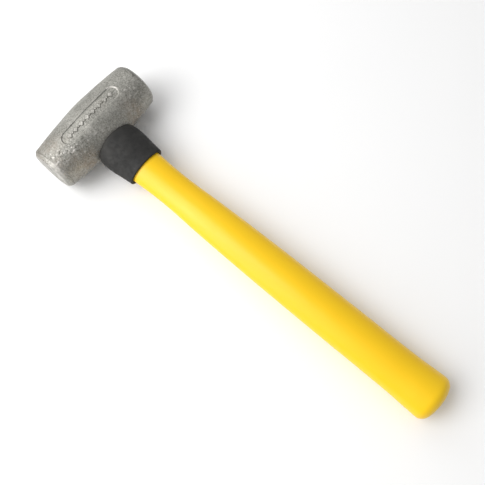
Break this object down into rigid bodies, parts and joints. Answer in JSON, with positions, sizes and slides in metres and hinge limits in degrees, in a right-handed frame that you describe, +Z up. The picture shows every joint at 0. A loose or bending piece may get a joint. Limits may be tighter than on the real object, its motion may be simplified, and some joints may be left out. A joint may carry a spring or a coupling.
{
  "type": "double-faced soft-alloy hammer",
  "caption": "Short club hammer with a barrel-shaped soft-alloy head, rubber overstrike collar and straight oval jacketed fibreglass handle.",
  "frame": {"origin": "on the surface the hammer lies on, under the middle of its bounding box", "axes": "+Z up from the surface; +X along the handle from the head to the butt; +Y along the head towards one striking face. The handle leans butt-down by about 1.6 degrees so that barrel and butt both touch the surface."},
  "size_m": [0.3802, 0.1056, 0.0482],
  "materials": {
    "head_alloy": "rough as-cast zinc-aluminium alloy, dull warm grey, lightly bruised at the faces",
    "fibreglass_core": "pultruded fibreglass bar, resin rich",
    "yellow_jacket": "semi-gloss moulded polymer, bright yellow",
    "black_rubber": "matte moulded rubber, charcoal black",
    "potting_resin": "poured epoxy, dark grey, slightly glossy",
    "seal_rubber": "soft moulded sealing rubber"
  },
  "bodies": {
    "root": {"head_casting": "head_alloy", "handle_core": "fibreglass_core", "handle_jacket": "yellow_jacket", "overstrike_collar": "black_rubber", "eye_resin": "potting_resin", "potting_seal": "seal_rubber"}
  },
  "joints": []
}
